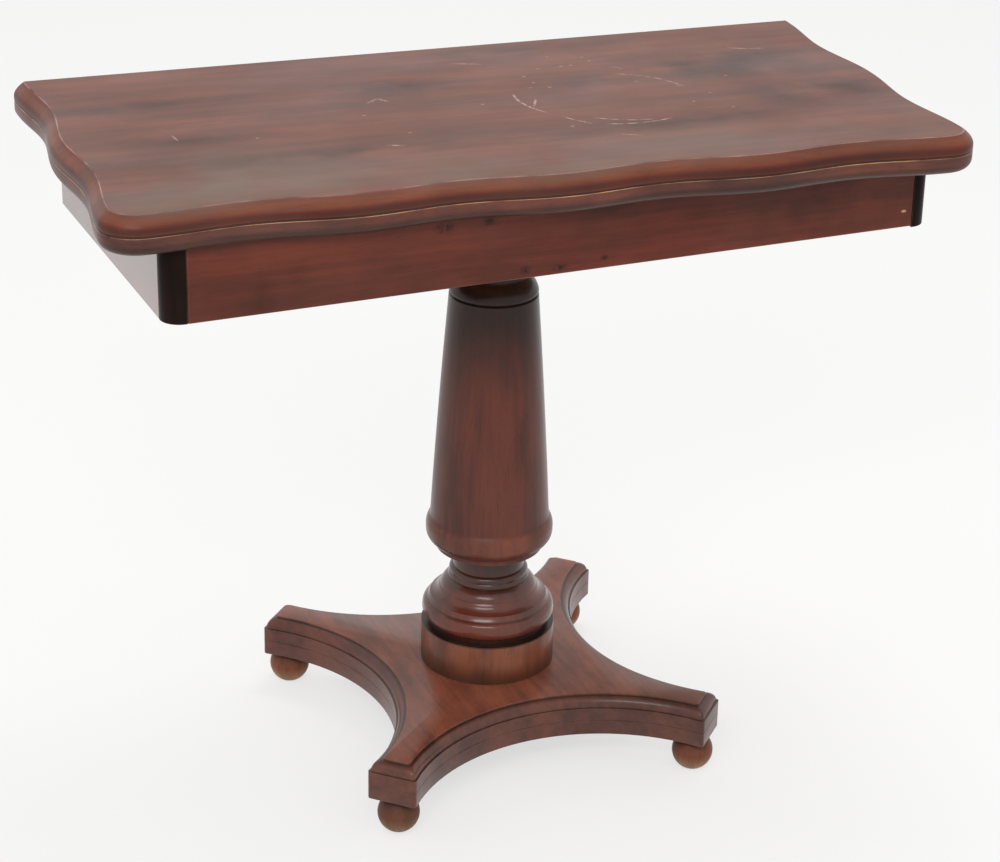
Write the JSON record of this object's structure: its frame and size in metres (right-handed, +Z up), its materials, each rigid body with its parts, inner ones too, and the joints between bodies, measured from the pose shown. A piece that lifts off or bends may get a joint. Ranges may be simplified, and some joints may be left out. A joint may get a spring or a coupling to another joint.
{
  "type": "card table",
  "caption": "Folding card table: two wavy-edged leaves that swivel and unfold on a shallow box frieze, over a turned column, a four-armed platform and bun feet.",
  "frame": {"origin": "on the column's axis, at the floor", "axes": "+Z up, +X to the right of a person facing the front along the frieze, +Y to the back; the top lies turned 3.6 degrees clockwise at rest"},
  "size_m": [0.9468, 0.5157, 0.74],
  "materials": {
    "top_wood": "worn satin polish",
    "frieze_wood": "satin polish",
    "column_wood": "dark satin polish",
    "platform_wood": "satin polish",
    "foot_wood": "worn polish",
    "inner_wood": "unpolished",
    "baize": "woven wool",
    "brass": "dull",
    "iron": "dull"
  },
  "bodies": {
    "frame": {"front_rail": "frieze_wood", "back_rail": "frieze_wood", "left_side_rail": "frieze_wood", "right_side_rail": "frieze_wood", "front_left_corner_block": "frieze_wood", "front_right_corner_block": "frieze_wood", "pivot_rail": "inner_wood", "column_bearer": "inner_wood", "well_partition": "inner_wood", "well_floor": "inner_wood", "column_shaft": "column_wood", "column_base_turning": "column_wood", "plinth_drum": "column_wood", "platform_base": "platform_wood", "tenon_wedge": "inner_wood", "foot_front_left": "foot_wood", "foot_front_right": "foot_wood", "foot_back_left": "foot_wood", "foot_back_right": "foot_wood"},
    "lower_leaf": {"lower_leaf": "top_wood", "lower_baize": "baize", "pivot_bolt": "iron", "pivot_washer": "iron", "pivot_nut": "iron", "stop_peg": "inner_wood", "left_hinge_lower_plate": "brass", "middle_hinge_lower_plate": "brass", "right_hinge_lower_plate": "brass", "left_hinge_pin": "brass", "middle_hinge_pin": "brass", "right_hinge_pin": "brass"},
    "upper_leaf": {"upper_leaf": "top_wood", "upper_baize": "baize", "left_hinge_upper_plate": "brass", "middle_hinge_upper_plate": "brass", "right_hinge_upper_plate": "brass"}
  },
  "joints": [
    {"name": "top_swivel", "type": "hinge", "parent": "frame", "child": "lower_leaf", "pos_m": [-0.1185, 0.1185, 0.6997], "axis": [0, 0, -1], "range_deg": [-3.6, 86.4]},
    {"name": "leaf_fold", "type": "hinge", "parent": "lower_leaf", "child": "upper_leaf", "pos_m": [0.00722, 0.22948, 0.71985], "axis": [-0.998, 0.0628, 0], "range_deg": [0, 180]}
  ]
}
